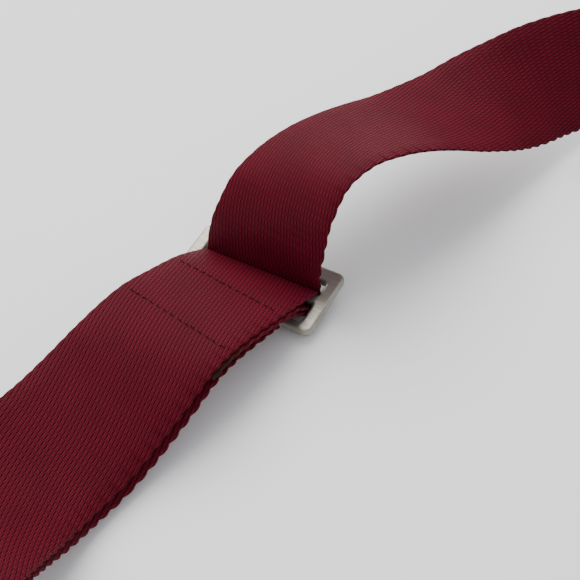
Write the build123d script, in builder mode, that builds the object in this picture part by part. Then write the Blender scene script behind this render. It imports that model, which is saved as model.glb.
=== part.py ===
from build123d import *
from math import cos, radians, sin
import os

# Saxophone neck strap lying on a table, in millimetres.
# +X runs along the strap towards the neck, +Y across it, +Z up, table at Z = 0.
# The origin is on the table, straight under the centre bar of the slide.

# Webbing
webbing_width = 51.0
webbing_thickness = 1.4
layer_gap = 0.3
strap_offset = -0.9           # the webbing's middle at the slide, across from the origin

# Slide: three-bar adjuster frame
slide_bar = 4.0
slide_end_bar = 5.5
slide_rear_bar = 7.0          # on the neck side
slide_side_gap = 0.3          # between the webbing's edge and an end bar
slide_length = webbing_width + 2 * slide_side_gap + 2 * slide_end_bar
fold_radius = slide_bar / 2 + 0.5 + webbing_thickness / 2
slide_depth = 32.0            # across the bars
slide_thickness = 3.6
slide_corner = 3.5
slide_slot_corner = 1.0
slide_edge_round = 1.2
slide_height = fold_radius + 0.5 + 1.5 * webbing_thickness
slide_pitch = 6.0             # the neck side of the frame rests higher, in degrees
centre_bar_round = 1.25

# Webbing through the slide
climb_angle = 40.0            # the layers climb over the front bar at this angle
pass_corner_radius = 3.5
rise_x = fold_radius + webbing_thickness + layer_gap   # where the webbing comes up through the rear slot
pass_left_x = -2.2
pass_end_x = -17.0
sewn_leave_angle = 60.0       # where the sewn layer leaves the fold, round the bar
tail_climb = 16.0             # length of the tail that climbs straight over the front bar

# Adjuster ring
eye_loop_radius = 4.6         # outside of the leather where it goes round the eye
ring_height = eye_loop_radius + 0.2
ring_bar_x = -262.0
ring_wire = 4.0
ring_pitch = 18.0             # between its two long bars
ring_side_gap = 0.5
ring_length = webbing_width + 2 * ring_side_gap + 2 * ring_wire
ring_corner = 3.0
ring_y = 4.0
ring_fold_radius = ring_wire / 2 + 0.4 + webbing_thickness / 2

# Round swivel eye
eye_radius = 20.0
eye_wire = 4.0
eye_to_ring = eye_radius + 38.0   # from the eye's middle to the adjuster ring's far bar
hook_direction = 150.0
neck_tab_direction = -80.0
boss_radius = 4.0
boss_start = eye_radius - 1.4
boss_end = eye_radius + 7.0
post_radius = 2.0
running_clearance = 0.05
head_radius = 3.3
head_start = eye_radius - 4.4
head_end = eye_radius - 2.7

# Snap hook
hook_thickness = 5.2
hook_edge_round = 0.7
collar_radius = 4.2
collar_start = eye_radius + 7.3
collar_end = eye_radius + 11.0
neck_end = eye_radius + 17.5
neck_half_width = 4.2
bow_centre = eye_radius + 30.0
bow_inner_radius = 6.4
bow_outer_radius = 10.6
mouth_floor = -3.0
spine_reach = 3.5             # the spine runs on to this far short of the bow's middle
tip_inner = (bow_centre - 1.0, 5.5)   # the tip's end face slants back over the gate
tip_outer = (bow_centre - 5.0, 11.0)
gate_pivot = (bow_centre - 15.6, 1.9)
gate_tip = (bow_centre - 3.8, 7.0)
gate_half_width = 1.25
gate_eye_radius = 2.2
gate_thickness = 2.0
gate_slot = 3.2
gate_slot_end = eye_radius + 11.4
gate_slot_floor = -2.6
pin_radius = 0.8
gate_play = 0.15
spring_wire = 0.4
spring_radius = 1.6
spring_turns = 2

# Leather tabs
leather_clearance = 0.35
ring_loop_radius = 4.3
tab_half_thickness = 1.7
neck_tab_half_thickness = 2.4
tab_narrow = 12.0
tab_wide = webbing_width - 5.0
neck_tab_wide = webbing_width + 2.0
tab_taper_start = eye_radius + 9.0
tab_taper_end = eye_radius + 29.0
neck_tab_end = eye_radius + 48.0
webbing_end = eye_radius + 30.0   # where the webbing stops inside the neck tab
loop_run_out = 9.0            # from a loop's middle to where the layers lie flat

# Rivets and stitches
rivet_place = eye_radius + 15.0
rivet_post_radius = 1.2
rivet_cap_radius = 3.2
rivet_cap_thickness = 1.0
stitch_pitch = 3.2
stitch_length = 2.3
stitch_wire = 0.5
stitch_inset = 3.5
leather_stitch_pitch = 3.5

# Middle line of the webbing as it lies: x, y, z, heading and lean of its width in degrees.
# The lean lifts the left edge, so 90 stands the webbing on its right edge.
edge_height = webbing_width / 2
slide_lift = 1.5 * (slide_height - 5.8)   # a thicker fold carries the layers near it higher
slide_lean = 2.0 * 51.0 / webbing_width
sewn_stations = [
    (-250, 4, 10, 0, 0),
    (-238, 4, 17.5, 0, 2),
    (-222, 5, 30, 0, 6),
    (-206, 6, 40, 0, 10),
    (-190, 7, 43.5, 0, 12),
    (-176, 8, 41.5, 0, 13),
    (-164, 10.5, 36, -1, 15),
    (-152, 12.5, 29.5, -4, 18),
    (-137, 14, 22.5, -6, 22),
    (-122, 14, 18.9, -7, 24),
    (-106, 12, 18.2, -6, 22),
    (-90, 10, 20.3, -5, 16),
    (-75, 7.6, 24.2, -6, 11),
    (-62, 6, 26.6, -7, 6),
    (-50, 4.5, 26.6, -8, 4),
    (-36, 2.4, 23.9 + slide_lift, -8, slide_lean),
    (-21, 0.6, 19.2 + slide_lift, -6, slide_lean),
    (-11, -0.4, 15.2 + slide_lift, -3, slide_lean / 2),
]
# How far the adjusting run hangs below the sewn run at each of those places, up to the second last
run_drops = [5.4, 5.2, 4.6, 4.0, 3.6, 3.4, 3.4, 3.5, 3.7, 3.9, 4.1, 4.4, 4.6, 4.8, 5.0, 5.1, 4.4]
first_stitch_station = 16
second_stitch_station = 14
tail_drop = webbing_thickness + layer_gap
hump_stations = [
    (5.3, -0.8, 13, -3, 0),
    (7.5, -2, 24.5, -8, 1),
    (14.8, -3.3, 36.9, -15, -4),
    (26.8, -6, 44.9, -20, -12),
    (40.3, -10.7, 47.5, -21.5, -14),
    (54, -16.5, 46, -21.5, -12),
    (67.4, -22.3, 42.4, -21.5, -9),
    (80.4, -28.2, 37.9, -22.5, -5),
]
twist_stations = [
    (93.5, -34, 33.6, -24, 2),
    (106.7, -40, 30.2, -26.5, 10),
    (119.9, -46.2, 28.3, -29, 22),
    (133, -53, 27.2, -30.5, 33),
    (146, -60.6, edge_height + 2, -32, 45),
    (159, -69.5, edge_height + 2, -35, 54),
    (177, -82.5, edge_height + 1, -38, 67),
    (196, -98, edge_height, -42, 80),
]
bend_stations = [
    (213, -115, edge_height, -50, 90),
    (227, -137, edge_height, -70, 90),
    (233, -163, edge_height, -92, 90),
    (228, -189, edge_height, -115, 90),
    (212, -211, edge_height, -138, 90),
    (188, -228, edge_height, -154, 90),
    (152, -241, edge_height, -163, 90),
]
back_stations = [
    (105, -251, edge_height, -170, 90),
    (55, -257, edge_height, -175, 90),
    (0, -260, edge_height, -179, 90),
    (-55, -260, edge_height, 178, 90),
    (-110, -256, edge_height, 174, 90),
    (-165, -247, edge_height, 168, 90),
    (-215, -230, edge_height, 158, 90),
    (-257, -204, edge_height, 144, 90),
]
return_stations = [
    (-288, -171, edge_height + 0.1, 130, 88),
    (-308, -134, edge_height - 0.6, 116, 72),
    (-321, -100, edge_height - 8, 107, 40),
    (-325.6, -80, 9, 102, 14),
]


def turned(angle):
    """Unit direction in the table plane."""
    return Vector(cos(radians(angle)), sin(radians(angle)), 0)


def width_direction(heading, lean):
    """Unit direction across the webbing, towards its left edge."""
    level = turned(heading + 90)
    return level * cos(radians(lean)) + Vector(0, 0, sin(radians(lean)))


def section_plane(station, along):
    """Plane across the webbing at a station: local X over its width, local Y out of its top."""
    across = width_direction(*station[3:])
    forward = along - across * along.dot(across)
    return Plane(origin=station[:3], x_dir=across, z_dir=forward.normalized())


def run_planes(stations, first=None, last=None):
    """Section planes along a stretch, each square to the line through its neighbours."""
    points = [Vector(*station[:3]) for station in stations]
    planes = []
    for index, station in enumerate(stations):
        before = points[max(index - 1, 0)]
        after = points[min(index + 1, len(points) - 1)]
        along = after - before
        if index == 0 and first:
            along = first
        if index == len(points) - 1 and last:
            along = last
        planes.append(section_plane(station, along))
    return planes


def write(part, name):
    part.label = name
    export_step(part, f"parts/{name}.step")


def webbing_stretch(name, planes):
    """One stretch of webbing, ruled from each section to the next."""
    with BuildPart() as stretch:
        for start, end in zip(planes, planes[1:]):
            for plane in (start, end):
                with BuildSketch(plane):
                    Rectangle(webbing_width, webbing_thickness)
            loft(ruled=True)
    write(stretch.part, name)


def lowered(station, drop):
    x, y, z, heading, lean = station
    return (x, y, z - drop, heading, lean)


def line_length(planes):
    return sum((b.origin - a.origin).length for a, b in zip(planes, planes[1:]))


# Places worked out from the sizes above
eye_x = ring_bar_x - ring_pitch - eye_to_ring
eye_centre = Vector(eye_x, ring_y, ring_height)
climb = Vector(-cos(radians(climb_angle)), 0, sin(radians(climb_angle)))
fold_inner = fold_radius - webbing_thickness / 2
fold_outer = fold_radius + webbing_thickness / 2
tail_start_angle = -90 - climb_angle
half_layer = webbing_thickness / 2


def fold_point(angle):
    """Point on the middle of the sewn fold, by its angle round the centre bar."""
    return (
        fold_radius * cos(radians(angle)),
        strap_offset,
        slide_height + fold_radius * sin(radians(angle)),
    )


def build_slide_frame():
    tilt = radians(slide_pitch)
    frame_plane = Plane(
        origin=(0, strap_offset, slide_height),
        x_dir=(cos(tilt), 0, sin(tilt)),
        z_dir=(-sin(tilt), 0, cos(tilt)),
    )
    front_slot = slide_depth / 2 - slide_bar * 1.5
    rear_slot = slide_depth / 2 - slide_bar / 2 - slide_rear_bar
    slot_length = slide_length - 2 * slide_end_bar
    with BuildPart() as slide_frame:
        with BuildSketch(frame_plane):
            RectangleRounded(slide_depth, slide_length, slide_corner)
            with Locations((-(slide_bar + front_slot) / 2, 0)):
                RectangleRounded(front_slot, slot_length, slide_slot_corner, mode=Mode.SUBTRACT)
            with Locations(((slide_bar + rear_slot) / 2, 0)):
                RectangleRounded(rear_slot, slot_length, slide_slot_corner, mode=Mode.SUBTRACT)
        extrude(amount=slide_thickness / 2, both=True)
        outside = slide_frame.edges().filter_by(
            lambda edge: max(abs(frame_plane.to_local_coords(edge.center()).X) * 2 / slide_depth,
                             abs(frame_plane.to_local_coords(edge.center()).Y) * 2 / slide_length) > 0.9
            and abs(frame_plane.to_local_coords(edge.center()).Z) > slide_thickness * 0.4
        )
        fillet(outside, slide_edge_round)
        centre_bar = slide_frame.edges().filter_by(
            lambda edge: edge.length > slot_length * 0.8
            and abs(frame_plane.to_local_coords(edge.center()).X) < slide_bar
        )
        fillet(centre_bar, centre_bar_round)
    write(slide_frame.part, "slide_frame")


def build_sewn_fold():
    """The webbing's end folded round the centre bar, as an arc of the fold."""
    with BuildPart() as sewn_fold:
        with BuildSketch(Plane.XZ.offset(-strap_offset)):
            with Locations((0, slide_height)):
                Circle(fold_outer)
                Circle(fold_inner, mode=Mode.SUBTRACT)
            far = fold_outer * 3
            with BuildLine():
                Polyline(
                    (0, slide_height),
                    (far * cos(radians(sewn_leave_angle)), slide_height + far * sin(radians(sewn_leave_angle))),
                    (-far, slide_height + far),
                    (-far * 1.5, slide_height),
                    (far * cos(radians(tail_start_angle)), slide_height + far * sin(radians(tail_start_angle))),
                    close=True,
                )
            make_face(mode=Mode.SUBTRACT)
        extrude(amount=webbing_width / 2, both=True)
    write(sewn_fold.part, "webbing_sewn_fold")


def build_slide_pass():
    """The adjusting layer under the centre bar, up over the front bar and up through the rear slot."""
    reach = pass_left_x - pass_end_x
    end_z = half_layer + reach * sin(radians(climb_angle)) / cos(radians(climb_angle))
    with BuildPart() as slide_pass:
        with BuildSketch(Plane.XZ.offset(-strap_offset)):
            with BuildLine() as middle:
                FilletPolyline(
                    (rise_x, slide_height),
                    (rise_x, half_layer),
                    (pass_left_x, half_layer),
                    (pass_end_x, end_z),
                    radius=pass_corner_radius,
                )
            trace(middle.line, line_width=webbing_thickness)
        extrude(amount=webbing_width / 2, both=True)
    write(slide_pass.part, "webbing_slide_pass")
    return (pass_end_x, strap_offset, end_z, 0, 0)


def build_ring_bend():
    """The webbing's half turn round the near bar of the adjuster ring."""
    with BuildPart() as ring_bend:
        with BuildSketch(Plane.XZ.offset(-ring_y)):
            with Locations((ring_bar_x, ring_height)):
                Circle(ring_fold_radius + half_layer)
                Circle(ring_fold_radius - half_layer, mode=Mode.SUBTRACT)
            with Locations((ring_bar_x + ring_wire * 2, ring_height)):
                Rectangle(ring_wire * 4, ring_wire * 4, mode=Mode.SUBTRACT)
        extrude(amount=webbing_width / 2, both=True)
    write(ring_bend.part, "webbing_ring_bend")


def build_webbing(pass_end):
    """Every stretch between the folds, from the ring to the slide, over the neck and back."""
    ahead = Vector(1, 0, 0)
    up = Vector(0, 0, 1)
    ring_top = (ring_bar_x, ring_y, ring_height + ring_fold_radius, 0, 0)
    ring_foot = (ring_bar_x, ring_y, ring_height - ring_fold_radius, 0, 0)
    leave = radians(sewn_leave_angle)
    sewn_end = (*fold_point(sewn_leave_angle), 0, 0)
    sewn = run_planes(
        [ring_top, *sewn_stations, sewn_end], ahead, Vector(sin(leave), 0, -cos(leave))
    )
    webbing_stretch("webbing_sewn_run", sewn)

    under = [lowered(station, drop) for station, drop in zip(sewn_stations, run_drops)]
    adjusting = run_planes([ring_foot, *under, pass_end], ahead, -climb)
    webbing_stretch("webbing_adjusting_run", adjusting)

    tail_start = (*fold_point(tail_start_angle), 0, 0)
    tail_line = [lowered(station, tail_drop) for station in sewn_stations[13:17]]
    over_bar = Vector(*tail_start[:3]) + climb * tail_climb
    tail = run_planes([*tail_line, (*over_bar, 0, 0), tail_start], None, -climb)
    webbing_stretch("webbing_tail", tail)

    rise = (rise_x, strap_offset, slide_height, 0, 0)
    neck_line = [rise, *hump_stations, *twist_stations, *bend_stations, *back_stations, *return_stations]
    out = turned(neck_tab_direction)
    tab_mouth = eye_centre + out * neck_tab_end
    tab_stop = eye_centre + out * webbing_end
    heading = neck_tab_direction + 180
    neck_line.append((*tab_mouth, heading, 0))
    neck_line.append((*tab_stop, heading, 0))
    neck = run_planes(neck_line, up, out * -1)
    neck[-2] = section_plane(neck_line[-2], out * -1)
    first = 0
    for name, count in [
        ("webbing_hump", len(hump_stations)),
        ("webbing_neck_twist", len(twist_stations)),
        ("webbing_neck_bend", len(bend_stations)),
        ("webbing_neck_run", len(back_stations)),
        ("webbing_return_twist", len(return_stations) + 1),
        ("webbing_neck_end", 1),
    ]:
        webbing_stretch(name, neck[first:first + count + 1])
        first += count
    total = line_length(sewn) + line_length(adjusting) + line_length(tail) + line_length(neck)
    print("webbing length without its folds", round(total))
    return sewn


def build_slide_stitches(sewn):
    """Two rows of stitches through the sewn run and the tail, lying on the sewn run."""
    row_length = webbing_width - 2 * stitch_inset
    count = int(row_length / stitch_pitch) + 1
    with BuildPart() as slide_stitches:
        for station in (first_stitch_station, second_stitch_station):
            # the ring's end of the run is plane 0, so station n of the list is plane n + 1
            plane = sewn[station + 1]
            with Locations(plane):
                with Locations((0, half_layer + stitch_wire / 2, 0)):
                    with GridLocations(stitch_pitch, 0, count, 1):
                        Box(stitch_length, stitch_wire, stitch_wire)
    write(slide_stitches.part, "slide_stitches")


def build_adjuster_ring():
    middle_x = ring_bar_x - ring_pitch / 2
    side = ring_length - ring_wire
    with BuildPart() as adjuster_ring:
        with BuildLine() as loop:
            FilletPolyline(
                (middle_x - ring_pitch / 2, ring_y - side / 2, ring_height),
                (middle_x + ring_pitch / 2, ring_y - side / 2, ring_height),
                (middle_x + ring_pitch / 2, ring_y + side / 2, ring_height),
                (middle_x - ring_pitch / 2, ring_y + side / 2, ring_height),
                radius=ring_corner,
                close=True,
            )
        with BuildSketch(Plane(origin=loop.line @ 0, z_dir=loop.line % 0)):
            Circle(ring_wire / 2)
        sweep(path=loop.line)
    write(adjuster_ring.part, "adjuster_ring")


def eye_plane(direction):
    """Frame at the middle of the eye, its X pointing out along a direction."""
    return Plane(origin=eye_centre, x_dir=turned(direction), z_dir=(0, 0, 1))


def side_plane(direction):
    """Upright plane through the eye's middle: its X points out, its Y up."""
    out = turned(direction)
    return Plane(origin=eye_centre, x_dir=out, z_dir=out.cross(Vector(0, 0, 1)))


def build_ring_tab():
    """Leather tab from the adjuster ring to the eye, a loop at each end."""
    with BuildPart() as ring_tab:
        with BuildSketch(side_plane(0)):
            with Locations((eye_radius, 0)):
                Circle(eye_loop_radius)
            with Locations((eye_radius + loop_run_out, 0)):
                Rectangle(0.5, tab_half_thickness * 2)
            make_hull()
            with BuildSketch(side_plane(0), mode=Mode.PRIVATE) as far_loop:
                with Locations((eye_to_ring, 0)):
                    Circle(ring_loop_radius)
                with Locations((eye_to_ring - loop_run_out, 0)):
                    Rectangle(0.5, tab_half_thickness * 2)
                make_hull()
            add(far_loop.sketch_local)
            with Locations(((eye_radius + eye_to_ring) / 2, 0)):
                Rectangle(eye_to_ring - eye_radius - loop_run_out * 2, tab_half_thickness * 2)
        extrude(amount=tab_wide / 2, both=True)
        with BuildSketch(eye_plane(0)):
            with BuildLine():
                Polyline(
                    (0, -tab_narrow / 2),
                    (tab_taper_start, -tab_narrow / 2),
                    (tab_taper_end, -tab_wide / 2),
                    (neck_tab_end, -tab_wide / 2),
                    (neck_tab_end, tab_wide / 2),
                    (tab_taper_end, tab_wide / 2),
                    (tab_taper_start, tab_narrow / 2),
                    (0, tab_narrow / 2),
                    close=True,
                )
            make_face()
        extrude(amount=eye_loop_radius * 2, both=True, mode=Mode.INTERSECT)
        with Locations(eye_plane(0)):
            Torus(eye_radius, eye_wire / 2 + leather_clearance, mode=Mode.SUBTRACT)
            with Locations((eye_to_ring, 0, 0)):
                Cylinder(
                    ring_wire / 2 + leather_clearance, tab_wide * 2, rotation=(90, 0, 0), mode=Mode.SUBTRACT
                )
            with Locations((rivet_place, 0, 0)):
                Cylinder(rivet_post_radius, eye_loop_radius * 2, mode=Mode.SUBTRACT)
    write(ring_tab.part, "ring_tab_leather")


def build_neck_tab():
    """Leather tab sewn over the neck end of the webbing, with a loop round the eye."""
    with BuildPart() as neck_tab:
        with BuildSketch(side_plane(neck_tab_direction)):
            with Locations((eye_radius, 0)):
                Circle(eye_loop_radius)
            with Locations((eye_radius + loop_run_out, 0)):
                Rectangle(0.5, neck_tab_half_thickness * 2)
            make_hull()
            with Locations(((eye_radius + loop_run_out + neck_tab_end) / 2, 0)):
                Rectangle(neck_tab_end - eye_radius - loop_run_out, neck_tab_half_thickness * 2)
        extrude(amount=neck_tab_wide / 2, both=True)
        with BuildSketch(eye_plane(neck_tab_direction)):
            with BuildLine():
                Polyline(
                    (0, -tab_narrow / 2),
                    (tab_taper_start, -tab_narrow / 2),
                    (tab_taper_end, -neck_tab_wide / 2),
                    (neck_tab_end, -neck_tab_wide / 2),
                    (neck_tab_end, neck_tab_wide / 2),
                    (tab_taper_end, neck_tab_wide / 2),
                    (tab_taper_start, tab_narrow / 2),
                    (0, tab_narrow / 2),
                    close=True,
                )
            make_face()
        extrude(amount=eye_loop_radius * 2, both=True, mode=Mode.INTERSECT)
        with Locations(eye_plane(neck_tab_direction)):
            Torus(eye_radius, eye_wire / 2 + leather_clearance, mode=Mode.SUBTRACT)
            with Locations(((webbing_end + neck_tab_end) / 2, 0, 0)):
                Box(neck_tab_end - webbing_end, webbing_width, webbing_thickness, mode=Mode.SUBTRACT)
            with Locations((rivet_place, 0, 0)):
                Cylinder(rivet_post_radius, eye_loop_radius * 2, mode=Mode.SUBTRACT)
    write(neck_tab.part, "neck_tab_leather")


def build_rivets():
    """A tubular rivet through each tab: a post, and a cap on either face."""
    tabs = [(0, tab_half_thickness), (neck_tab_direction, neck_tab_half_thickness)]
    with BuildPart() as rivet_posts:
        for direction, half in tabs:
            with Locations(eye_plane(direction)):
                with Locations((rivet_place, 0, 0)):
                    Cylinder(rivet_post_radius, half * 2)
    write(rivet_posts.part, "rivet_posts")
    with BuildPart() as rivet_caps:
        for direction, half in tabs:
            with Locations(eye_plane(direction)):
                with Locations((rivet_place, 0, half + rivet_cap_thickness / 2)):
                    Cylinder(rivet_cap_radius, rivet_cap_thickness)
                with Locations((rivet_place, 0, -half - rivet_cap_thickness / 2)):
                    Cylinder(rivet_cap_radius, rivet_cap_thickness)
        rims = rivet_caps.edges().filter_by(
            lambda edge: edge.geom_type == GeomType.CIRCLE
            and abs(edge.center().Z - ring_height) > neck_tab_half_thickness
        )
        fillet(rims.filter_by(lambda edge: is_cap_rim(edge, tabs)), rivet_cap_thickness * 0.6)
    write(rivet_caps.part, "rivet_caps")


def is_cap_rim(edge, tabs):
    """True for the outer rim of a cap, away from the leather."""
    height = abs(edge.center().Z - ring_height)
    return any(abs(height - half - rivet_cap_thickness) < 0.01 for _, half in tabs)


def build_tab_stitches():
    """Rows of stitches across both tabs, on their upper faces."""
    rows = [
        ("ring_tab_stitches", 0, tab_half_thickness, tab_wide, [tab_taper_end - 1.5]),
        ("neck_tab_stitches", neck_tab_direction, neck_tab_half_thickness, neck_tab_wide,
         [tab_taper_end + 1.5, neck_tab_end - stitch_inset]),
    ]
    for name, direction, half, width, places in rows:
        count = int((width - 2 * stitch_inset - 2) / leather_stitch_pitch) + 1
        with BuildPart() as stitches:
            with Locations(eye_plane(direction)):
                for place in places:
                    with Locations((place, 0, half + stitch_wire / 2)):
                        with GridLocations(0, leather_stitch_pitch, 1, count):
                            Box(stitch_wire, stitch_length, stitch_wire)
        write(stitches.part, name)


def build_swivel_eye():
    with BuildPart() as swivel_eye:
        with Locations(eye_plane(hook_direction)):
            Torus(eye_radius, eye_wire / 2)
            with Locations(((boss_start + boss_end) / 2, 0, 0)):
                Cylinder(boss_radius, boss_end - boss_start, rotation=(0, 90, 0))
                Cylinder(
                    post_radius + running_clearance, boss_radius * 4, rotation=(0, 90, 0), mode=Mode.SUBTRACT
                )
    write(swivel_eye.part, "swivel_eye")


def build_swivel_head():
    """The peened head that keeps the hook's post in the eye."""
    with BuildPart() as swivel_head:
        with Locations(eye_plane(hook_direction)):
            with Locations(((head_start + head_end) / 2, 0, 0)):
                Cylinder(head_radius, head_end - head_start, rotation=(0, 90, 0))
                Cylinder(post_radius, head_end * 2, rotation=(0, 90, 0), mode=Mode.SUBTRACT)
    write(swivel_head.part, "swivel_head")


def build_hook_body():
    plane = eye_plane(hook_direction)
    with BuildPart() as hook_body:
        with BuildSketch(plane):
            with BuildLine():
                Polyline(
                    (collar_end - 1, neck_half_width),
                    (neck_end, neck_half_width),
                    (neck_end, mouth_floor),
                    (bow_centre - spine_reach, mouth_floor),
                    (bow_centre - spine_reach, -bow_outer_radius + 0.8),
                    (bow_centre - spine_reach - 6, -bow_outer_radius + 2.8),
                    (collar_end + 2.5, -neck_half_width - 1),
                    (collar_end - 1, -neck_half_width),
                    close=True,
                )
            make_face()
            with Locations((bow_centre, 0)):
                Circle(bow_outer_radius)
            with BuildLine():
                Polyline(
                    (neck_end, mouth_floor),
                    (tip_inner[0], mouth_floor),
                    tip_inner,
                    tip_outer,
                    (tip_outer[0], bow_outer_radius * 2),
                    (neck_end, bow_outer_radius * 2),
                    close=True,
                )
            make_face(mode=Mode.SUBTRACT)
            with Locations((bow_centre, 0)):
                Circle(bow_inner_radius, mode=Mode.SUBTRACT)
        extrude(amount=hook_thickness / 2, both=True)
        rims = hook_body.edges().filter_by(
            lambda edge: abs(abs(edge.center().Z - ring_height) - hook_thickness / 2) < 0.01
        )
        fillet(rims, hook_edge_round)
        with Locations(plane):
            with Locations(((collar_start + collar_end) / 2, 0, 0)):
                Cylinder(collar_radius, collar_end - collar_start, rotation=(0, 90, 0))
            with Locations(((head_start + collar_end) / 2, 0, 0)):
                Cylinder(post_radius, collar_end - head_start, rotation=(0, 90, 0))
            with Locations(((gate_slot_end + neck_end) / 2 + 1, gate_slot_floor + neck_half_width, 0)):
                Box(neck_end - gate_slot_end + 2, neck_half_width * 2, gate_slot, mode=Mode.SUBTRACT)
            with Locations((*gate_pivot, 0)):
                Cylinder(pin_radius, hook_thickness * 2, mode=Mode.SUBTRACT)
    write(hook_body.part, "hook_body")


def build_gate():
    lower = -gate_slot / 2 + gate_play
    with BuildPart() as hook_gate:
        with BuildSketch(eye_plane(hook_direction).offset(lower)):
            with Locations(gate_pivot):
                Circle(gate_eye_radius)
            with Locations(gate_tip):
                Circle(gate_half_width)
            make_hull()
            with Locations(gate_pivot):
                Circle(pin_radius + running_clearance, mode=Mode.SUBTRACT)
        extrude(amount=gate_thickness)
    write(hook_gate.part, "hook_gate")

    with BuildPart() as gate_pin:
        with Locations(eye_plane(hook_direction)):
            with Locations((*gate_pivot, 0)):
                Cylinder(pin_radius, hook_thickness)
    write(gate_pin.part, "gate_pin")

    room = gate_slot / 2 - (lower + gate_thickness)
    pitch = (room - spring_wire * 1.4) / spring_turns
    base = eye_plane(hook_direction).offset(lower + gate_thickness + spring_wire * 0.6)
    pivot = base.from_local_coords(Vector(*gate_pivot, 0))
    with BuildPart() as gate_spring:
        with BuildLine() as coil:
            Helix(
                pitch=pitch,
                height=pitch * spring_turns,
                radius=spring_radius,
                center=pivot,
                direction=(0, 0, 1),
            )
        with BuildSketch(Plane(origin=coil.line @ 0, z_dir=coil.line % 0)):
            Circle(spring_wire / 2)
        sweep(path=coil.line, is_frenet=True)
    write(gate_spring.part, "gate_spring")


def main():
    os.makedirs("parts", exist_ok=True)
    build_slide_frame()
    build_sewn_fold()
    pass_end = build_slide_pass()
    build_ring_bend()
    sewn = build_webbing(pass_end)
    build_slide_stitches(sewn)
    build_adjuster_ring()
    build_ring_tab()
    build_neck_tab()
    build_rivets()
    build_tab_stitches()
    build_swivel_eye()
    build_swivel_head()
    build_hook_body()
    build_gate()


main()
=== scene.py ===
import bpy
import bmesh
import math
from mathutils import Matrix, Vector, noise


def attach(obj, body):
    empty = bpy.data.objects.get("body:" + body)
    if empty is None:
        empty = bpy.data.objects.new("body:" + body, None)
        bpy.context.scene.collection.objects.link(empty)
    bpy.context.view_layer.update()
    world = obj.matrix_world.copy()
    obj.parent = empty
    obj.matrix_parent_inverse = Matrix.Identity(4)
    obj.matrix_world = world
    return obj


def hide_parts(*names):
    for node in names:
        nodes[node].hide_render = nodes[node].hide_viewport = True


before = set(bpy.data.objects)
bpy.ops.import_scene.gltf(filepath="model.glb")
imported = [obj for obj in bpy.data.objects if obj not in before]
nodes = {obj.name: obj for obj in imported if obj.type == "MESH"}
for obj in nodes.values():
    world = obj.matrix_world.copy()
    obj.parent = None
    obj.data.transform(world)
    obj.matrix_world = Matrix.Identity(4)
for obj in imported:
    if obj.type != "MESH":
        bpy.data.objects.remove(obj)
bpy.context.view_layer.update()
mm = 0.001

cameraSetup = {
    "place": (-332.6, -190.3, 390.6),    # mm
    "lookAt": (5.15, -12.75, 0.8),       # mm
    "roll": 0.88,            # degrees, turning the picture
    "lens": 86.2,            # mm
    "sensor": 36.0,          # mm
    "nearest": 0.01,         # m
    "farthest": 20.0,        # m
}


def makeCamera(setup):
    place = Vector(setup["place"]) * mm
    target = Vector(setup["lookAt"]) * mm
    back = (place - target).normalized()
    right = Vector((0, 0, 1)).cross(back).normalized()
    up = back.cross(right)
    roll = math.radians(setup["roll"])
    side = right * math.cos(roll) + up * math.sin(roll)
    top = up * math.cos(roll) - right * math.sin(roll)
    data = bpy.data.cameras.new("stillCamera")
    data.lens = setup["lens"]
    data.sensor_width = setup["sensor"]
    data.clip_start = setup["nearest"]
    data.clip_end = setup["farthest"]
    camera = bpy.data.objects.new("stillCamera", data)
    camera.matrix_world = Matrix((
        (side.x, top.x, back.x, place.x),
        (side.y, top.y, back.y, place.y),
        (side.z, top.z, back.z, place.z),
        (0, 0, 0, 1),
    ))
    bpy.context.collection.objects.link(camera)
    bpy.context.scene.camera = camera


studioSetup = {
    "floorSize": 6.0,        # m
    "floorTone": (0.93, 0.94, 0.95),
    "floorRoughness": 0.42,
    "floorShine": 0.35,
    "worldTone": (0.95, 0.965, 1.0),
    "worldPower": 0.81,
    "keyPlace": (1.32, 1.06, 2.0),   # m
    "keySize": 2.8,          # m
    "keyPower": 94.0,        # W
    "keyTone": (1.0, 0.985, 0.96),
    "fillPlace": (-1.4, 0.6, 1.6),   # m
    "fillSize": 1.6,
    "fillPower": 9.0,
    "fillTone": (1.0, 1.0, 1.0),
}


def makeAreaLight(setup, role):
    # a soft disk of light, turned towards the middle of the table
    data = bpy.data.lights.new(role + "Light", "AREA")
    data.shape = "DISK"
    data.size = setup[role + "Size"]
    data.energy = setup[role + "Power"]
    data.color = setup[role + "Tone"]
    lamp = bpy.data.objects.new(role + "Light", data)
    place = Vector(setup[role + "Place"])
    turned = place.to_track_quat("Z", "Y").to_matrix().to_4x4()
    lamp.matrix_world = Matrix.Translation(place) @ turned
    bpy.context.collection.objects.link(lamp)


def makeStudio(setup):
    world = bpy.data.worlds.new("softRoom")
    world.use_nodes = True
    shade = world.node_tree.nodes["Background"]
    shade.inputs["Color"].default_value = (*setup["worldTone"], 1)
    shade.inputs["Strength"].default_value = setup["worldPower"]
    bpy.context.scene.world = world
    makeAreaLight(setup, "key")
    makeAreaLight(setup, "fill")
    bpy.ops.mesh.primitive_plane_add(size=setup["floorSize"], location=(0, 0, 0))
    floor = bpy.context.object
    floor.name = "tableTop"
    paint = bpy.data.materials.new("palePaper")
    paint.use_nodes = True
    surface = paint.node_tree.nodes["Principled BSDF"]
    surface.inputs["Base Color"].default_value = (*setup["floorTone"], 1)
    surface.inputs["Roughness"].default_value = setup["floorRoughness"]
    surface.inputs["Specular IOR Level"].default_value = setup["floorShine"]
    floor.data.materials.append(paint)


makeCamera(cameraSetup)
makeStudio(studioSetup)
print("camera and studio ready")


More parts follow.
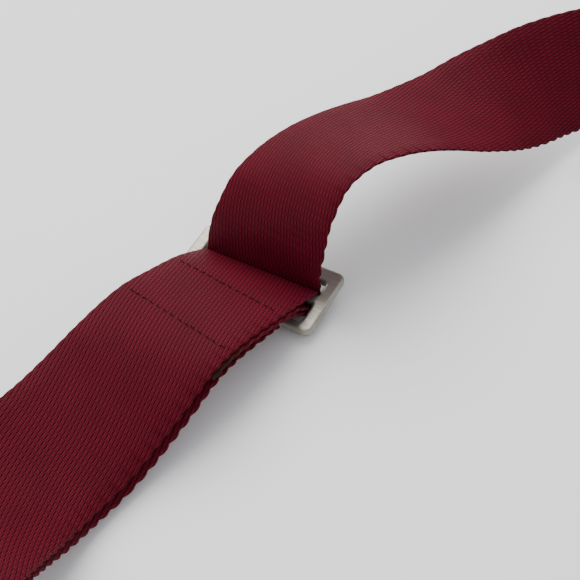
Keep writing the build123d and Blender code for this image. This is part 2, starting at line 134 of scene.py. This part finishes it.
class ShaderTree:
    # a material whose node tree is written in short steps
    def __init__(self, name):
        self.material = bpy.data.materials.new(name)
        self.material.use_nodes = True
        self.tree = self.material.node_tree
        self.surface = self.tree.nodes["Principled BSDF"]

    def node(self, kind, **settings):
        made = self.tree.nodes.new(kind)
        for key, value in settings.items():
            setattr(made, key, value)
        return made

    def link(self, source, target):
        self.tree.links.new(source, target)

    def feed(self, socket, value):
        if hasattr(value, "is_output"):
            self.link(value, socket)
        else:
            socket.default_value = value

    def finish(self, values):
        for name, value in values.items():
            self.feed(self.surface.inputs[name], value)

    def math(self, operation, *values):
        made = self.node("ShaderNodeMath", operation=operation)
        for socket, value in zip(made.inputs, values):
            self.feed(socket, value)
        return made.outputs[0]

    def ramp(self, value, low, high, bottom=0.0, top=1.0):
        made = self.node("ShaderNodeMapRange", interpolation_type="SMOOTHSTEP")
        for key, number in (("Value", value), ("From Min", low), ("From Max", high),
                            ("To Min", bottom), ("To Max", top)):
            self.feed(made.inputs[key], number)
        return made.outputs["Result"]

    def blend(self, share, first, second):
        # the colour inputs of a mix node are its seventh and eighth
        made = self.node("ShaderNodeMix", data_type="RGBA")
        self.feed(made.inputs["Factor"], share)
        for socket, value in ((made.inputs[6], first), (made.inputs[7], second)):
            self.feed(socket, (*value, 1) if isinstance(value, tuple) else value)
        return made.outputs[2]

    def grain(self, place, scale, detail=3.0, roughness=0.5, stretch=None):
        if stretch:
            mapping = self.node("ShaderNodeMapping")
            self.link(place, mapping.inputs["Vector"])
            mapping.inputs["Scale"].default_value = stretch
            place = mapping.outputs["Vector"]
        made = self.node("ShaderNodeTexNoise")
        self.link(place, made.inputs["Vector"])
        made.inputs["Scale"].default_value = scale
        made.inputs["Detail"].default_value = detail
        made.inputs["Roughness"].default_value = roughness
        return made.outputs["Fac"]

    def bump(self, height, distance):
        made = self.node("ShaderNodeBump")
        self.link(height, made.inputs["Height"])
        made.inputs["Distance"].default_value = distance
        made.inputs["Strength"].default_value = 1.0
        self.link(made.outputs["Normal"], self.surface.inputs["Normal"])

    def objectPlace(self):
        return self.node("ShaderNodeTexCoord").outputs["Object"]

    def uvPlace(self, layer):
        return self.node("ShaderNodeUVMap", uv_map=layer).outputs["UV"]


# the weave is a sum of waves over the strip's own map, which counts in mm
weave = {
    "acrossFrequency": 0.65,     # waves per mm, half the yarn count
    "alongFrequency": 0.175,     # waves per mm, one over the length of a float and its gap
    "slantShare": 1.0,
    "counterShare": 0.45,
    "yarnShare": 0.9,
    "doubleShare": 0.9,
    "hookShare": 0.34,
    "harmonicTurn": 0.36,        # turns the fine waves against the coarse ones, so floats lean to one side
    "heightRange": (-2.35, 2.2),     # sums of the waves that count as low and high
    "wobble": 0.55,              # mm, sideways wander of the yarns
    "wobbleScale": 0.12,
    "filamentShare": 0.22,
    "filamentScale": 5.0,
    "patchShare": 0.16,          # slow darker patches
    "patchScale": 0.06,
    "patchRange": (0.3, 0.75),
    # painted shade in the gaps between the floats; the slow darker patches below take this tone as well
    "deepTone": (0.014, 0.0004, 0.0020),
    "bodyTone": (0.085, 0.0024, 0.0096),
    "bodyRange": (0.02, 0.62),   # heights over which the painted shade of the gaps turns into the body's own tone
    # painted highlight on the crests of the floats
    "crestHighlightTone": (0.160, 0.0082, 0.0225),
    "crestHighlightRange": (0.6, 1.25),
    "sealedTone": (0.034, 0.013, 0.010),
    "roughness": (0.72, 0.5),    # in the gaps and on the floats
    "shine": 0.06,
    "sheen": 0.05,
    "sheenRoughness": 0.45,
    "sheenTone": (0.85, 0.12, 0.2),
    "bumpDepth": 0.00017,        # m
}


def weaveMaterial(setup):
    tree = ShaderTree("burgundyNylon")
    stripMap = tree.uvPlace("stripMap")
    place = tree.node("ShaderNodeSeparateXYZ")
    tree.link(stripMap, place.inputs[0])
    along = place.outputs["Y"]
    wander = tree.grain(stripMap, setup["wobbleScale"], 2.0, stretch=(1.0, 0.35, 1.0))
    across = tree.math("MULTIPLY_ADD", wander, setup["wobble"], place.outputs["X"])
    turn = 2 * math.pi

    def wave(perAcross, perAlong, share, turned=0.0):
        phase = tree.math("MULTIPLY_ADD", across, turn * perAcross, turn * turned)
        phase = tree.math("MULTIPLY_ADD", along, turn * perAlong, phase)
        return tree.math("MULTIPLY", tree.math("COSINE", phase), share)

    fx = setup["acrossFrequency"]
    fy = setup["alongFrequency"]
    height = wave(fx, -fy, setup["slantShare"])
    for share in (wave(fx, fy, setup["counterShare"]),
                  wave(2 * fx, 0.0, setup["yarnShare"], setup["harmonicTurn"]),
                  wave(2 * fx, -2 * fy, setup["doubleShare"], setup["harmonicTurn"]),
                  wave(fx, -3 * fy, setup["hookShare"])):
        height = tree.math("ADD", height, share)
    height = tree.ramp(height, *setup["heightRange"])
    filament = tree.grain(stripMap, setup["filamentScale"], 2.0, 0.6, stretch=(1.6, 0.25, 1.0))
    height = tree.math("MULTIPLY_ADD", filament, setup["filamentShare"], height)
    # the tones follow the height: painted shade in the gaps, the nylon's own body tone between, and a
    # painted highlight on the crests, which the leaning floats carry to one side
    shade = tree.blend(tree.ramp(height, *setup["bodyRange"]), setup["deepTone"], setup["bodyTone"])
    shade = tree.blend(tree.ramp(height, *setup["crestHighlightRange"]), shade, setup["crestHighlightTone"])
    patch = tree.grain(stripMap, setup["patchScale"], 3.0)
    patch = tree.ramp(patch, *setup["patchRange"], 0.0, setup["patchShare"])
    shade = tree.blend(patch, shade, setup["deepTone"])
    sealed = tree.node("ShaderNodeAttribute", attribute_name="sealed").outputs["Fac"]
    shade = tree.blend(sealed, shade, setup["sealedTone"])
    tree.finish({
        "Base Color": shade,
        "Roughness": tree.ramp(height, 0.0, 1.1, *setup["roughness"]),
        "Specular IOR Level": setup["shine"],
        "Sheen Weight": setup["sheen"],
        "Sheen Roughness": setup["sheenRoughness"],
        "Sheen Tint": (*setup["sheenTone"], 1),
    })
    tree.bump(height, setup["bumpDepth"])
    return tree.material


# the webbing is one strip, from its sewn tail round the slide, the ring and the neck; its lengths are in mm
strip = {
    "width": 51.0,
    "thickness": 1.4,
    "step": 0.5,             # mm between cross sections
    "acrossParts": 8,        # faces across each side
    "edgeRound": 0.62,       # mm, how far the flat faces stop short of the edge
    "edgeThinning": 0.14,    # share of the thickness lost beside the edges
    "edgeSharpness": 14,     # the higher, the later that thinning starts
    "selvageStart": 0.9,     # share of the half width where the selvage begins
    "selvageLift": 0.05,
    "cheekInset": 0.2,       # mm, where the rounded edge bends, in from its tip
    "cheekHeight": 0.55,     # share of the half thickness at that bend
    "tipSwell": 1.2,         # how much further than the bend the tip follows the scallops
    "scallopPitch": 5.7,
    "scallopDepth": 0.62,    # on the near edge
    "farScallopDepth": 0.22,
    "farScallopTurn": 1.3,   # radians, the far edge's scallops against the near ones
    "scallopLevel": 0.6,     # share of a scallop that lies inside the straight edge
    "rippleHeight": 0.16,
    "rippleScale": (0.05, 0.025),    # across and along, per mm
    "rippleSlice": 3.1,      # which slice of the noise the ripples are taken from
    "tableGap": 0.02,        # mm, the lowest the standing edge comes
    "cutBurn": (1.6, 1.8),   # browning at the cut end, and the mm over which it falls by one
    "edgeBurn": (1.5, 16.0),     # the same, along the near selvage beside the cut
    "singedEdge": 0.9,       # mm of the near selvage browned by the heat
}
# where the strip turns round the bars, in mm, with angles in degrees
laidPath = {
    "centreBar": (0, -0.9, 5.8),
    "foldRadius": 3.2,
    "foldTop": 60,           # round the centre bar, where the sewn layer leaves it
    "foldParts": 14,
    "climb": 40,             # slope of the two lower layers at the front bar
    "tailClimb": 16.0,       # length of the tail's straight slope
    "tailRows": (13, 17),    # the sewn stations that have the tail below them
    "tailDrop": 1.7,
    "tailShift": -1.1,
    "ringBar": (-262, 4, 4.8),
    "ringRadius": 3.1,
    "ringParts": 12,
    "passStart": -17.0,      # x where the lowest layer comes off the front bar
    "passTurn": -2.2,        # x where its slope would meet the table
    "passRise": 4.9,         # x where it stands up through the rear slot
    "passRadius": 3.5,
    "passParts": (4, 7),     # round its two corners
}
passHeight = strip["thickness"] / 2
onEdge = strip["width"] / 2      # height of the strip's middle where it stands on its edge

# x, y, z, heading and lean, as the sewn layer lies from the ring to the slide
sewnRoute = [
    (-250, 4, 10, 0, 0), (-238, 4, 17.5, 0, 2), (-222, 5, 30, 0, 6), (-206, 6, 40, 0, 10),
    (-190, 7, 43.5, 0, 12), (-176, 8, 41.5, 0, 13), (-164, 10.5, 36, -1, 15), (-152, 12.5, 29.5, -4, 18),
    (-137, 14, 22.5, -6, 22), (-122, 14, 18.9, -7, 24), (-106, 12, 18.2, -6, 22), (-90, 10, 20.3, -5, 16),
    (-75, 7.6, 24.2, -6, 11), (-62, 6, 26.6, -7, 6), (-50, 4.5, 26.6, -8, 4), (-36, 2.4, 23.9, -8, 2),
    (-21, 0.6, 19.2, -6, 2), (-11, -0.4, 15.2, -3, 1),
]
# how far the adjusting run hangs below those stations, and how far it is shifted sideways
runDrops = [5.4, 5.2, 4.6, 4.0, 3.6, 3.4, 3.4, 3.5, 3.7, 3.9, 4.1, 4.4, 4.6, 4.8, 5.0, 5.1, 4.4]
runShifts = [0, 0, 0, 0, 0, 0, 0, -0.1, -0.6, -1.0, -1.2, -1.3, -1.2, -1.0, -0.8, -0.5, -0.2]
# the loop from the slide's rear slot over the hump, round the neck and back; it ends under the neck tab
neckRoute = [
    (5.3, -0.8, 13, -3, 0), (7.5, -2, 24.5, -8, 1), (14.8, -3.3, 36.9, -15, -4), (26.8, -6, 44.9, -20, -12),
    (40.3, -10.7, 47.5, -21.5, -14), (54, -16.5, 46, -21.5, -12), (67.4, -22.3, 42.4, -21.5, -9),
    (80.4, -28.2, 37.9, -22.5, -5), (93.5, -34, 33.6, -24, 2), (106.7, -40, 30.2, -26.5, 10),
    (119.9, -46.2, 28.3, -29, 22), (133, -53, 27.2, -30.5, 33), (146, -60.6, 27.5, -32, 45),
    (159, -69.5, 27.5, -35, 54), (177, -82.5, 26.5, -38, 67), (196, -98, onEdge, -42, 80),
    (213, -115, onEdge, -50, 90), (227, -137, onEdge, -70, 90), (233, -163, onEdge, -92, 90),
    (228, -189, onEdge, -115, 90), (212, -211, onEdge, -138, 90), (188, -228, onEdge, -154, 90),
    (152, -241, onEdge, -163, 90), (105, -251, onEdge, -170, 90), (55, -257, onEdge, -175, 90),
    (0, -260, onEdge, -179, 90), (-55, -260, onEdge, -182, 90), (-110, -256, onEdge, -186, 90),
    (-165, -247, onEdge, -192, 90), (-215, -230, onEdge, -202, 90), (-257, -204, onEdge, -216, 90),
    (-288, -171, 25.6, -230, 88), (-308, -134, 24.9, -244, 72), (-321, -100, 17.5, -253, 40),
    (-325.6, -80, 9, -258, 14), (-326.19, -62.97, 4.8, -260, 0), (-329.32, -45.24, 4.8, -260, 0),
]


def flatStops(rows):
    return [((x, y, z), heading, lean) for x, y, z, heading, lean in rows]


def below(row, drop, shift):
    x, y, z, heading, lean = row
    return (x, y + shift, z - drop, heading, lean)


def arcStops(centre, radius, first, last, parts):
    # stations round an axis along y, at angles in degrees
    stops = []
    for step in range(parts + 1):
        angle = math.radians(first + (last - first) * step / parts)
        spot = (centre.x + radius * math.cos(angle), centre.y, centre.z + radius * math.sin(angle))
        stops.append((spot, 0, 0))
    return stops


def passStops(path, bar, climb):
    # down from the front bar, flat under the centre bar, and up through the rear slot
    start, turn, rise, radius = (path[key] for key in ("passStart", "passTurn", "passRise", "passRadius"))
    stops = [((start, bar.y, passHeight + (turn - start) * math.tan(climb)), 0, 0)]
    centre = Vector((turn + radius * math.tan(climb / 2), bar.y, passHeight + radius))
    stops += arcStops(centre, radius, -90 - path["climb"], -90, path["passParts"][0])
    centre = Vector((rise - radius, bar.y, passHeight + radius))
    stops += arcStops(centre, radius, -90, 0, path["passParts"][1])
    stops.append(((rise, bar.y, bar.z), 0, 0))
    return stops


def routeStops(path):
    # every station of the strip, in the order its length runs, each (place, heading, lean)
    bar = Vector(path["centreBar"])
    climb = math.radians(path["climb"])
    first, last = path["tailRows"]
    stops = flatStops(below(row, path["tailDrop"], path["tailShift"]) for row in sewnRoute[first:last])
    foldStart = -90 - path["climb"]
    foot = math.radians(foldStart)
    overBar = (
        bar.x + path["foldRadius"] * math.cos(foot) - path["tailClimb"] * math.cos(climb), bar.y,
        bar.z + path["foldRadius"] * math.sin(foot) + path["tailClimb"] * math.sin(climb),
    )
    stops.append((overBar, 0, 0))
    stops += arcStops(bar, path["foldRadius"], foldStart, path["foldTop"], path["foldParts"])
    stops += flatStops(reversed(sewnRoute))
    stops += arcStops(Vector(path["ringBar"]), path["ringRadius"], 90, 270, path["ringParts"])
    stops += flatStops(below(*station) for station in zip(sewnRoute, runDrops, runShifts))
    stops += passStops(path, bar, climb)
    stops += flatStops(neckRoute)
    return stops


def smoothRoute(stops, spacing):
    # a smooth curve through the stations, cut into even lengths: (place, side, length so far)
    places = [Vector(place) for place, _, _ in stops]
    sides = []
    for _, heading, lean in stops:
        turned = math.radians(heading)
        tilted = math.radians(lean)
        level = Vector((-math.sin(turned), math.cos(turned), 0))
        sides.append(level * math.cos(tilted) + Vector((0, 0, math.sin(tilted))))
    fine = []
    for index in range(len(places) - 1):
        around = [max(index - 1, 0), index, index + 1, min(index + 2, len(places) - 1)]
        p0, p1, p2, p3 = (places[k] for k in around)
        s0, s1, s2, s3 = (sides[k] for k in around)
        chord = (p2 - p1).length
        tangentStart = (p2 - p0) / max((p1 - p0).length + chord, 1e-6) * chord
        tangentEnd = (p3 - p1) / max(chord + (p3 - p2).length, 1e-6) * chord
        parts = max(2, int(chord / spacing))
        for part in range(parts):
            t = part / parts
            # the weights of the two stations and of the curve's direction at each
            a = 2 * t ** 3 - 3 * t ** 2 + 1
            b = t ** 3 - 2 * t ** 2 + t
            c = -2 * t ** 3 + 3 * t ** 2
            d = t ** 3 - t ** 2
            place = p1 * a + tangentStart * b + p2 * c + tangentEnd * d
            side = s1 * a + (s2 - s0) * (0.5 * b) + s2 * c + (s3 - s1) * (0.5 * d)
            fine.append((place, side.normalized()))
    fine.append((places[-1], sides[-1]))
    lengths = [0.0]
    for (before, _), (after, _) in zip(fine, fine[1:]):
        lengths.append(lengths[-1] + (after - before).length)
    total = lengths[-1]
    count = int(total / spacing)
    route = []
    index = 0
    for step in range(count + 1):
        want = total * step / count
        while index < len(lengths) - 2 and lengths[index + 1] < want:
            index += 1
        share = (want - lengths[index]) / max(lengths[index + 1] - lengths[index], 1e-9)
        place = fine[index][0].lerp(fine[index + 1][0], share)
        side = fine[index][1].lerp(fine[index + 1][1], share).normalized()
        route.append((place, side, want))
    return route, total


def crossSection(setup, along):
    # closed outline of the strip across its width: (across, outOfTop) in mm
    half = setup["width"] / 2
    thick = setup["thickness"] / 2
    turn = math.pi * along / setup["scallopPitch"]
    nearOut = setup["scallopDepth"] * (abs(math.sin(turn)) - setup["scallopLevel"])
    farTurn = turn + setup["farScallopTurn"]
    farOut = setup["farScallopDepth"] * (abs(math.sin(farTurn)) - setup["scallopLevel"])
    parts = setup["acrossParts"]
    top = []
    for k in range(parts + 1):
        share = -1 + 2 * k / parts
        across = share * (half - setup["edgeRound"])
        height = thick * (1 - setup["edgeThinning"] * abs(share) ** setup["edgeSharpness"])
        if abs(share) > setup["selvageStart"]:
            height += setup["selvageLift"]
        top.append((across, height))
    cheek = half - setup["cheekInset"]
    bend = thick * setup["cheekHeight"]
    swell = setup["tipSwell"]
    farEdge = [(cheek + farOut, bend), (half + farOut * swell, 0.0), (cheek + farOut, -bend)]
    nearEdge = [(-cheek - nearOut, -bend), (-half - nearOut * swell, 0.0), (-cheek - nearOut, bend)]
    return top + farEdge + [(across, -height) for across, height in reversed(top)] + nearEdge


def browning(setup, across, along):
    # 0 to 1, how brown the heat that cut the tail has made this spot
    cutStart, cutFade = setup["cutBurn"]
    edgeStart, edgeFade = setup["edgeBurn"]
    nearSelvage = across < setup["singedEdge"] - setup["width"] / 2
    return min(1.0, max(0.0, cutStart - along / cutFade, (edgeStart - along / edgeFade) * nearSelvage))


def makeStrip(setup, path):
    route, total = smoothRoute(routeStops(path), setup["step"])
    mesh = bmesh.new()
    uvLayer = mesh.loops.layers.uv.new("stripMap")
    sealedLayer = mesh.verts.layers.float.new("sealed")
    rippleAcross, rippleAlong = setup["rippleScale"]
    rings = []
    for index, (place, side, along) in enumerate(route):
        before = route[max(index - 1, 0)][0]
        after = route[min(index + 1, len(route) - 1)][0]
        ahead = (after - before).normalized()
        side = (side - ahead * side.dot(ahead)).normalized()
        out = ahead.cross(side)
        ring = []
        for across, height in crossSection(setup, along):
            spread = Vector((across * rippleAcross, along * rippleAlong, setup["rippleSlice"]))
            ripple = noise.noise(spread) * setup["rippleHeight"]
            spot = place + side * across + out * (height + ripple)
            spot.z = max(spot.z, setup["tableGap"])
            vert = mesh.verts.new(spot * mm)
            vert[sealedLayer] = browning(setup, across, along)
            ring.append((vert, across))
        rings.append((ring, along))
    # the underside's map is mirrored, so the floats lean the same way seen from either side
    underside = range(setup["acrossParts"] + 2, 2 * setup["acrossParts"] + 5)
    for (ringA, alongA), (ringB, alongB) in zip(rings, rings[1:]):
        count = len(ringA)
        for k in range(count):
            n = (k + 1) % count
            corners = ((ringA[k], alongA), (ringA[n], alongA), (ringB[n], alongB), (ringB[k], alongB))
            face = mesh.faces.new([vert for (vert, _), _ in corners])
            face.smooth = True
            mirror = -1 if k in underside else 1
            for loop, ((_, across), along) in zip(face.loops, corners):
                loop[uvLayer].uv = (across * mirror, along)
    mesh.faces.new([vert for vert, _ in rings[0][0]])
    mesh.faces.new([vert for vert, _ in reversed(rings[-1][0])])
    bmesh.ops.recalc_face_normals(mesh, faces=mesh.faces)
    data = bpy.data.meshes.new("webbingStrip")
    mesh.to_mesh(data)
    mesh.free()
    piece = bpy.data.objects.new("webbingStrip", data)
    bpy.context.collection.objects.link(piece)
    return piece, total


webbing, webbingLength = makeStrip(strip, laidPath)
webbing.data.materials.append(weaveMaterial(weave))
webbingNodes = [name for name in nodes if name.startswith("webbing_")]
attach(webbing, "strap")
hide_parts(*webbingNodes)
print("webbing strip", round(webbingLength), "mm,", len(webbing.data.polygons), "faces")

metalLook = {
    "satinTone": (0.40, 0.375, 0.325),
    # painted glint, a lighter tone laid on the brushing's crests
    "paintedGlintTone": (0.64, 0.61, 0.55),
    "dullTone": (0.33, 0.305, 0.26),
    "brushScale": 900,           # per m, the fine brushing
    "cloudScale": 90,            # per m, the slow change between dull and satin
    "glintShare": 0.35,          # how far the brushing's crests take the painted glint tone
    "roughness": (0.50, 0.38),   # in the brushing's grooves and on its crests
    "metallic": 0.78,
    "bumpDepth": 0.000012,       # m
}


def satinMetal(name, setup, scale=1.0, brushed=(1.0, 1.0, 1.0)):
    tree = ShaderTree(name)
    place = tree.objectPlace()
    brush = tree.grain(place, setup["brushScale"] * scale, 3.0, 0.6, stretch=brushed)
    cloud = tree.grain(place, setup["cloudScale"] * scale, 4.0, 0.55)
    shade = tree.blend(tree.ramp(cloud, 0.3, 0.72), setup["dullTone"], setup["satinTone"])
    # painted glint: the brushing's crests are painted lighter
    glint = tree.ramp(brush, 0.45, 0.8, 0.0, setup["glintShare"])
    tree.finish({
        "Base Color": tree.blend(glint, shade, setup["paintedGlintTone"]),
        "Roughness": tree.ramp(brush, 0.2, 0.8, *setup["roughness"]),
        "Metallic": setup["metallic"],
    })
    tree.bump(brush, setup["bumpDepth"])
    return tree.material


slideFinish = satinMetal("satinNickelSlide", metalLook, brushed=(1.0, 0.12, 1.0))
ringFinish = satinMetal("satinNickelRing", metalLook, brushed=(1.0, 0.15, 1.0))
hookFinish = satinMetal("castNickelHook", metalLook, scale=0.8)
metalNodes = {
    "slide_frame": slideFinish,
    "adjuster_ring": ringFinish,
    "swivel_eye": hookFinish,
    "hook_body": hookFinish,
    "swivel_head": hookFinish,
    "hook_gate": ringFinish,
    "gate_pin": ringFinish,
    "gate_spring": ringFinish,
    "rivet_caps": ringFinish,
    "rivet_posts": ringFinish,
}
for name, metal in metalNodes.items():
    nodes[name].data.materials.clear()
    nodes[name].data.materials.append(metal)
print("metal finish on", len(metalNodes), "nodes")

leatherLook = {
    "deepTone": (0.018, 0.010, 0.008),
    "paleTone": (0.045, 0.024, 0.018),
    # painted shade in the creases of the grain
    "creaseShadeTone": (0.008, 0.005, 0.004),
    "poreScale": 900,            # per m
    "cloudScale": 60,            # per m
    "creaseShadeShare": 0.55,
    "roughness": (0.58, 0.42),
    "shine": 0.22,
    "creaseDepth": 0.00008,      # m
}


def leatherMaterial(setup):
    tree = ShaderTree("darkLeather")
    place = tree.objectPlace()
    pores = tree.node("ShaderNodeTexVoronoi", feature="DISTANCE_TO_EDGE")
    tree.link(place, pores.inputs["Vector"])
    pores.inputs["Scale"].default_value = setup["poreScale"]
    plump = tree.ramp(pores.outputs["Distance"], 0.0, 0.25)
    cloud = tree.grain(place, setup["cloudScale"], 4.0)
    shade = tree.blend(cloud, setup["deepTone"], setup["paleTone"])
    # painted shade: the creases between the grain's cells are painted darker
    crease = tree.ramp(plump, 0.0, 1.0, setup["creaseShadeShare"], 0.0)
    tree.finish({
        "Base Color": tree.blend(crease, shade, setup["creaseShadeTone"]),
        "Roughness": tree.ramp(cloud, 0.3, 0.7, *setup["roughness"]),
        "Specular IOR Level": setup["shine"],
    })
    tree.bump(plump, setup["creaseDepth"])
    return tree.material


# the leather tabs are the solids softened: edges rubbed round, faces a little uneven
tabSetup = {
    "cell": 0.55,            # mm, size of the remeshed faces
    "smoothing": 5,          # passes over the edges
    "smoothingShare": 0.5,   # how far each pass goes
    "unevenness": 0.10,      # mm, in and out
    "unevenScale": 0.12,     # waves per mm
}


def bakeModifiers(piece):
    shaped = bpy.data.meshes.new_from_object(piece.evaluated_get(bpy.context.evaluated_depsgraph_get()))
    piece.modifiers.clear()
    old = piece.data
    piece.data = shaped
    bpy.data.meshes.remove(old)
    for face in shaped.polygons:
        face.use_smooth = True


def makeTab(node, setup, leather):
    data = nodes[node].data.copy()
    data.transform(nodes[node].matrix_world)
    data.name = "soft_" + node
    piece = bpy.data.objects.new("soft_" + node, data)
    bpy.context.collection.objects.link(piece)
    remesh = piece.modifiers.new("evenFaces", "REMESH")
    remesh.mode = "VOXEL"
    remesh.voxel_size = setup["cell"] * mm
    smooth = piece.modifiers.new("rubbedEdges", "SMOOTH")
    smooth.factor = setup["smoothingShare"]
    smooth.iterations = setup["smoothing"]
    bakeModifiers(piece)
    mesh = piece.data
    normals = [vert.normal.copy() for vert in mesh.vertices]
    for vert, normal in zip(mesh.vertices, normals):
        wave = noise.noise(vert.co / mm * setup["unevenScale"])
        vert.co += normal * (wave * setup["unevenness"] * mm)
    mesh.materials.clear()
    mesh.materials.append(leather)
    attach(piece, "strap")
    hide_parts(node)
    print("soft tab", node, len(mesh.polygons), "faces")


darkLeather = leatherMaterial(leatherLook)
for tabNode in ("ring_tab_leather", "neck_tab_leather"):
    makeTab(tabNode, tabSetup, darkLeather)

threadLook = {
    "brownTone": (0.040, 0.007, 0.010),
    "redTone": (0.16, 0.012, 0.024),
    "plyShadeShare": 0.4,        # share of the tone kept where shade is painted between the thread's plies
    "twistScale": 2500,      # per m
    "roughness": 0.85,
    "shine": 0.08,
    "twistDepth": 0.00006,   # m
}


def threadMaterial(name, tone, setup):
    tree = ShaderTree(name)
    twist = tree.grain(tree.objectPlace(), setup["twistScale"], 2.0)
    # painted shade between the plies, where the twist is low
    dark = tuple(value * setup["plyShadeShare"] for value in tone)
    tree.finish({
        "Base Color": tree.blend(tree.ramp(twist, 0.3, 0.7), dark, tone),
        "Roughness": setup["roughness"],
        "Specular IOR Level": setup["shine"],
    })
    tree.bump(twist, setup["twistDepth"])
    return tree.material


# each stitch is a short arch of thread, laid where the stitches are
stitchSetup = {
    "threadRadius": 0.17,    # mm
    "endDrop": 0.30,         # mm, how far a stitch's ends lie below its crest
    "jitter": 0.05,          # mm, sideways wander of each stitch
    "webbingSink": 0.25,     # mm, how far the threads lie down in the webbing
    "leatherSink": 0.2,      # mm, the same in the leather
    "archParts": 8,
    "roundParts": 8,
    "seed": 7,
}


def stitchSpots(node):
    # middle and span of every stitch, from the separate islands of its node
    piece = nodes[node]
    mesh = bmesh.new()
    mesh.from_mesh(piece.data)
    mesh.transform(piece.matrix_world)
    bmesh.ops.remove_doubles(mesh, verts=mesh.verts, dist=1e-6)
    mesh.verts.index_update()
    reached = [False] * len(mesh.verts)
    spots = []
    # in the order of the vertices, so that every run finds the same spots
    for start in mesh.verts:
        if reached[start.index]:
            continue
        reached[start.index] = True
        stack = [start]
        island = []
        while stack:
            vert = stack.pop()
            island.append(vert.co.copy())
            for edge in vert.link_edges:
                other = edge.other_vert(vert)
                if not reached[other.index]:
                    reached[other.index] = True
                    stack.append(other)
        middle = sum(island, Vector()) / len(island)
        far = max(island, key=lambda co: (co - middle).length)
        near = max(island, key=lambda co: (co - far).length)
        spots.append((middle, far - near))
    mesh.free()
    spots.sort(key=lambda spot: tuple(round(value, 5) for value in spot[0]))
    return spots


def stitchTree(setup, material):
    # points in, one arched thread on each point, turned along its own span
    tree = bpy.data.node_groups.new("stitchThreads", "GeometryNodeTree")
    for name, way, kind in (("Geometry", "INPUT", "Geometry"), ("Thread radius", "INPUT", "Float"),
                            ("End drop", "INPUT", "Float"), ("Jitter", "INPUT", "Float"),
                            ("Seed", "INPUT", "Int"), ("Geometry", "OUTPUT", "Geometry")):
        tree.interface.new_socket(name, in_out=way, socket_type="NodeSocket" + kind)
    made = {}

    def node(key, kind, values=None, **settings):
        made[key] = tree.nodes.new(kind)
        for name, value in settings.items():
            setattr(made[key], name, value)
        for entry, value in (values or {}).items():
            made[key].inputs[entry].default_value = value

    def link(source, output, target, entry):
        tree.links.new(made[source].outputs[output], made[target].inputs[entry])

    node("in", "NodeGroupInput")
    node("out", "NodeGroupOutput")
    node("arch", "GeometryNodeCurveQuadraticBezier",
         {"Resolution": setup["archParts"], "Start": (-0.5, 0, 0), "End": (0.5, 0, 0)})
    node("round", "GeometryNodeCurvePrimitiveCircle", {"Resolution": setup["roundParts"]})
    node("length", "GeometryNodeInputNamedAttribute", data_type="FLOAT")
    made["length"].inputs["Name"].default_value = "stitchLength"
    node("turn", "GeometryNodeInputNamedAttribute", data_type="FLOAT_VECTOR")
    made["turn"].inputs["Name"].default_value = "stitchTurn"
    node("copies", "GeometryNodeInstanceOnPoints")
    node("stretch", "ShaderNodeCombineXYZ", {"Y": 1.0, "Z": 1.0})
    node("spin", "FunctionNodeEulerToRotation")
    node("wander", "FunctionNodeRandomValue", data_type="FLOAT_VECTOR")
    node("minus", "ShaderNodeMath", {1: -1.0}, operation="MULTIPLY")
    node("low", "ShaderNodeCombineXYZ")
    node("high", "ShaderNodeCombineXYZ")
    node("shift", "GeometryNodeSetPosition")
    node("real", "GeometryNodeRealizeInstances")
    node("tube", "GeometryNodeCurveToMesh", {"Fill Caps": True})
    node("crest", "ShaderNodeCombineXYZ")
    node("paint", "GeometryNodeSetMaterial", {"Material": material})
    for ends in (("in", "Thread radius", "round", "Radius"), ("in", "End drop", "crest", "Z"),
                 ("crest", 0, "arch", "Middle"), ("in", "Jitter", "minus", 0),
                 ("minus", 0, "low", "X"), ("minus", 0, "low", "Y"),
                 ("in", "Jitter", "high", "X"), ("in", "Jitter", "high", "Y"),
                 ("low", 0, "wander", "Min"), ("high", 0, "wander", "Max"), ("in", "Seed", "wander", "Seed"),
                 ("in", "Geometry", "shift", "Geometry"), ("wander", 0, "shift", "Offset"),
                 ("shift", 0, "copies", "Points"), ("arch", 0, "copies", "Instance"),
                 ("length", "Attribute", "stretch", "X"), ("stretch", 0, "copies", "Scale"),
                 ("turn", "Attribute", "spin", 0), ("spin", 0, "copies", "Rotation"),
                 ("copies", 0, "real", 0), ("real", 0, "tube", "Curve"),
                 ("round", 0, "tube", "Profile Curve"), ("tube", 0, "paint", 0), ("paint", 0, "out", 0)):
        link(*ends)
    return tree


def sewStitches(node, setup, material, sink):
    spots = stitchSpots(node)
    data = bpy.data.meshes.new("sewn_" + node)
    data.from_pydata([middle - Vector((0, 0, sink * mm)) for middle, _ in spots], [], [])
    lengths = data.attributes.new("stitchLength", "FLOAT", "POINT")
    turns = data.attributes.new("stitchTurn", "FLOAT_VECTOR", "POINT")
    for index, (_, span) in enumerate(spots):
        lengths.data[index].value = span.length
        level = math.hypot(span.x, span.y)
        turns.data[index].vector = (0, -math.atan2(span.z, level), math.atan2(span.y, span.x))
    piece = bpy.data.objects.new("sewn_" + node, data)
    bpy.context.collection.objects.link(piece)
    sewing = piece.modifiers.new("stitches", "NODES")
    sewing.node_group = stitchTree(setup, material)
    # an arch's middle point stands twice as high as the arch itself
    values = {
        "Thread radius": setup["threadRadius"] * mm,
        "End drop": setup["endDrop"] * 2 * mm,
        "Jitter": setup["jitter"] * mm,
        "Seed": setup["seed"],
    }
    for socket in sewing.node_group.interface.items_tree:
        if socket.in_out == "INPUT" and socket.name in values:
            sewing[socket.identifier] = values[socket.name]
    bakeModifiers(piece)
    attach(piece, "strap")
    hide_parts(node)
    print("stitches", node, len(spots))


brownThread = threadMaterial("brownThread", threadLook["brownTone"], threadLook)
redThread = threadMaterial("redThread", threadLook["redTone"], threadLook)
sewStitches("slide_stitches", stitchSetup, brownThread, stitchSetup["webbingSink"])
sewStitches("ring_tab_stitches", stitchSetup, redThread, stitchSetup["leatherSink"])
sewStitches("neck_tab_stitches", stitchSetup, redThread, stitchSetup["leatherSink"])
print("finishes ready")
